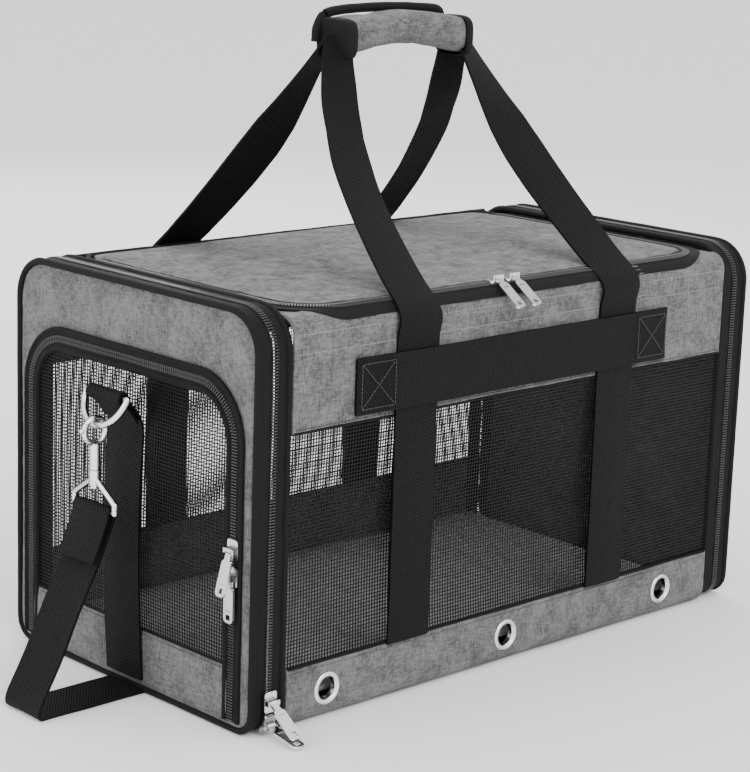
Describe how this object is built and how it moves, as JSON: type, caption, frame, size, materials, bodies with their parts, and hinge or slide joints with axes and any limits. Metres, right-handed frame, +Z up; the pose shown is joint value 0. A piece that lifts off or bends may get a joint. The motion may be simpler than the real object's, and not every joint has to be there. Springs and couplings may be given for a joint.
{
  "type": "pet carrier bag",
  "caption": "Soft-sided pet carrier with mesh sides, zip-open top and end door, removable padded floor, twin carry handles in a grip wrap, and a clip-on shoulder strap.",
  "frame": {"origin": "middle of the bag's footprint on the floor, under the end rings", "axes": "+X along the bag away from the door end, -Y the side with the luggage band, +Z up"},
  "size_m": [0.662, 0.3206, 0.452],
  "materials": {
    "grey_cloth": "matte heathered oxford cloth",
    "mat_cloth": "matte plush cloth over thin foam",
    "base_cloth": "matte woven cloth",
    "base_board": "matte hard board",
    "mesh": "open coated mesh",
    "zip_tape": "woven tape with coil teeth",
    "piping": "woven binding over cord",
    "webbing": "ribbed webbing",
    "hoop_steel": "plain spring wire",
    "bright_metal": "bright nickel plate",
    "eyelet_metal": "bright nickel plate",
    "slider_metal": "bright nickel plate"
  },
  "bodies": {
    "bag_body": {"base_panel": "base_cloth", "base_board": "base_board", "floor_mat": "mat_cloth", "front_sill_band": "grey_cloth", "back_sill_band": "grey_cloth", "front_mesh": "mesh", "back_mesh": "mesh", "front_top_band": "grey_cloth", "back_top_band": "grey_cloth", "top_end_strips": "grey_cloth", "near_ring_gusset": "zip_tape", "far_ring_gusset": "zip_tape", "ring_piping": "piping", "vent_eyelets": "eyelet_metal", "side_webbing": "webbing", "luggage_band": "webbing", "floor_strap": "webbing", "near_ring_foot_slider": "slider_metal"},
    "lid": {"lid_panel": "grey_cloth", "lid_zip": "zip_tape"},
    "front_handle": {"front_handle": "webbing", "grip_wrap": "grey_cloth"},
    "back_handle": {"back_handle": "webbing"},
    "near_end": {"near_end_panel": "grey_cloth", "near_panel_gusset": "zip_tape", "near_panel_piping": "piping", "near_hoop_wire": "hoop_steel", "door_surround": "zip_tape"},
    "door": {"door_tape": "zip_tape", "door_mesh": "mesh", "door_kick_panel": "grey_cloth", "door_webbing": "webbing", "near_strap": "webbing"},
    "far_end": {"far_end_panel": "grey_cloth", "far_panel_gusset": "zip_tape", "far_panel_piping": "piping", "far_hoop_wire": "hoop_steel", "far_webbing": "webbing", "far_strap": "webbing"},
    "near_d_ring": {"near_d_ring": "bright_metal"},
    "near_hook": {"near_hook": "bright_metal"},
    "near_hook_gate": {"near_hook_gate": "bright_metal"},
    "near_hook_eye": {"near_hook_eye": "bright_metal"},
    "far_d_ring": {"far_d_ring": "bright_metal"},
    "far_hook": {"far_hook": "bright_metal"},
    "far_hook_gate": {"far_hook_gate": "bright_metal"},
    "far_hook_eye": {"far_hook_eye": "bright_metal"},
    "lid_left_slider": {"lid_left_slider": "slider_metal"},
    "lid_left_pull": {"lid_left_pull": "slider_metal"},
    "lid_right_slider": {"lid_right_slider": "slider_metal"},
    "lid_right_pull": {"lid_right_pull": "slider_metal"},
    "door_upper_slider": {"door_upper_slider": "slider_metal"},
    "door_upper_pull": {"door_upper_pull": "slider_metal"},
    "door_lower_slider": {"door_lower_slider": "slider_metal"},
    "door_lower_pull": {"door_lower_pull": "slider_metal"},
    "near_ring_side_slider": {"near_ring_side_slider": "slider_metal"},
    "near_ring_side_pull": {"near_ring_side_pull": "slider_metal"},
    "near_ring_foot_pull": {"near_ring_foot_pull": "slider_metal"},
    "far_ring_slider": {"far_ring_slider": "slider_metal"},
    "far_ring_pull": {"far_ring_pull": "slider_metal"}
  },
  "joints": [
    {"name": "lid_open", "type": "hinge", "parent": "bag_body", "child": "lid", "pos_m": [0, 0.116, 0.2746], "axis": [-1, 0, 0], "range_deg": [0, 100]},
    {"name": "front_handle_fold", "type": "hinge", "parent": "bag_body", "child": "front_handle", "pos_m": [0, -0.1324, 0.256], "axis": [1, 0, 0], "range_deg": [0, 130], "deforming": ["grip_wrap"]},
    {"name": "back_handle_fold", "type": "hinge", "parent": "bag_body", "child": "back_handle", "pos_m": [0, 0.1324, 0.256], "axis": [-1, 0, 0], "range_deg": [0, 110]},
    {"name": "near_end_open", "type": "hinge", "parent": "bag_body", "child": "near_end", "pos_m": [-0.245, 0, 0.0025], "axis": [0, -1, 0], "range_deg": [0, 75]},
    {"name": "door_open", "type": "hinge", "parent": "near_end", "child": "door", "pos_m": [-0.2457, 0, 0.008], "axis": [0, -1, 0], "range_deg": [0, 80], "deforming": ["near_strap"]},
    {"name": "far_end_open", "type": "hinge", "parent": "bag_body", "child": "far_end", "pos_m": [0.245, 0, 0.0025], "axis": [0, 1, 0], "range_deg": [0, 75], "deforming": ["far_strap"]},
    {"name": "near_d_ring_swing", "type": "hinge", "parent": "door", "child": "near_d_ring", "pos_m": [-0.2627, 0, 0.206], "axis": [0, 1, 0], "range_deg": [0, 35]},
    {"name": "near_hook_swing", "type": "hinge", "parent": "near_d_ring", "child": "near_hook", "pos_m": [-0.27249, 0, 0.18686], "axis": [0, 1, 0], "range_deg": [0, 20]},
    {"name": "near_eye_swivel", "type": "hinge", "parent": "near_hook", "child": "near_hook_eye", "pos_m": [-0.27249, 0, 0.15], "axis": [0, 0, 1], "range_deg": [-18, 18]},
    {"name": "near_gate_press", "type": "hinge", "parent": "near_hook", "child": "near_hook_gate", "pos_m": [-0.27939, 0, 0.17801], "axis": [0, 1, 0], "range_deg": [0, 8], "stiffness_Nm_per_rad": 0.02, "springref_deg": -5.73},
    {"name": "far_d_ring_swing", "type": "hinge", "parent": "far_end", "child": "far_d_ring", "pos_m": [0.2627, 0, 0.206], "axis": [0, -1, 0], "range_deg": [0, 35]},
    {"name": "far_hook_swing", "type": "hinge", "parent": "far_d_ring", "child": "far_hook", "pos_m": [0.27249, 0, 0.18686], "axis": [0, -1, 0], "range_deg": [0, 20]},
    {"name": "far_eye_swivel", "type": "hinge", "parent": "far_hook", "child": "far_hook_eye", "pos_m": [0.27249, 0, 0.15], "axis": [0, 0, 1], "range_deg": [-18, 18]},
    {"name": "far_gate_press", "type": "hinge", "parent": "far_hook", "child": "far_hook_gate", "pos_m": [0.27939, 0, 0.17801], "axis": [0, -1, 0], "range_deg": [0, 8], "stiffness_Nm_per_rad": 0.02, "springref_deg": -5.73},
    {"name": "lid_left_slide", "type": "slide", "parent": "lid", "child": "lid_left_slider", "axis": [1, 0, 0], "range_m": [-0.045, 0]},
    {"name": "lid_left_pull_swing", "type": "hinge", "parent": "lid_left_slider", "child": "lid_left_pull", "pos_m": [-0.024, -0.1205, 0.2786], "axis": [-1, 0, 0], "range_deg": [0, 120]},
    {"name": "lid_right_slide", "type": "slide", "parent": "lid", "child": "lid_right_slider", "axis": [1, 0, 0], "range_m": [0, 0.07]},
    {"name": "lid_right_pull_swing", "type": "hinge", "parent": "lid_right_slider", "child": "lid_right_pull", "pos_m": [-0.008, -0.1205, 0.2786], "axis": [-1, 0, 0], "range_deg": [0, 120]},
    {"name": "door_upper_slide", "type": "slide", "parent": "door", "child": "door_upper_slider", "axis": [0, 0, 1], "range_m": [0, 0.055]},
    {"name": "door_upper_pull_swing", "type": "hinge", "parent": "door_upper_slider", "child": "door_upper_pull", "pos_m": [-0.2495, -0.11, 0.124], "axis": [0, 1, 0], "range_deg": [0, 120]},
    {"name": "door_lower_slide", "type": "slide", "parent": "door", "child": "door_lower_slider", "axis": [0, 0, 1], "range_m": [-0.06, 0]},
    {"name": "door_lower_pull_swing", "type": "hinge", "parent": "door_lower_slider", "child": "door_lower_pull", "pos_m": [-0.2495, -0.11, 0.106], "axis": [0, 1, 0], "range_deg": [0, 15]},
    {"name": "near_ring_slide", "type": "slide", "parent": "near_end", "child": "near_ring_side_slider", "axis": [0, 0, 1], "range_m": [0, 0.2]},
    {"name": "near_ring_side_pull_swing", "type": "hinge", "parent": "near_ring_side_slider", "child": "near_ring_side_pull", "pos_m": [-0.23, -0.1339, 0.024], "axis": [-1, 0, 0], "range_deg": [0, 90]},
    {"name": "near_ring_foot_pull_swing", "type": "hinge", "parent": "bag_body", "child": "near_ring_foot_pull", "pos_m": [-0.23, -0.13204, 0.00759], "axis": [-1, 0, 0], "range_deg": [0, 5]},
    {"name": "far_ring_slide", "type": "slide", "parent": "far_end", "child": "far_ring_slider", "axis": [0, 0, 1], "range_m": [0, 0.2]},
    {"name": "far_ring_pull_swing", "type": "hinge", "parent": "far_ring_slider", "child": "far_ring_pull", "pos_m": [0.23, 0.1339, 0.024], "axis": [1, 0, 0], "range_deg": [0, 90]}
  ],
  "couplings": [
    {"joint": "front_handle_fold", "follows": "lid_open", "ratio": 1.3},
    {"joint": "back_handle_fold", "follows": "lid_open", "ratio": 1.1}
  ]
}
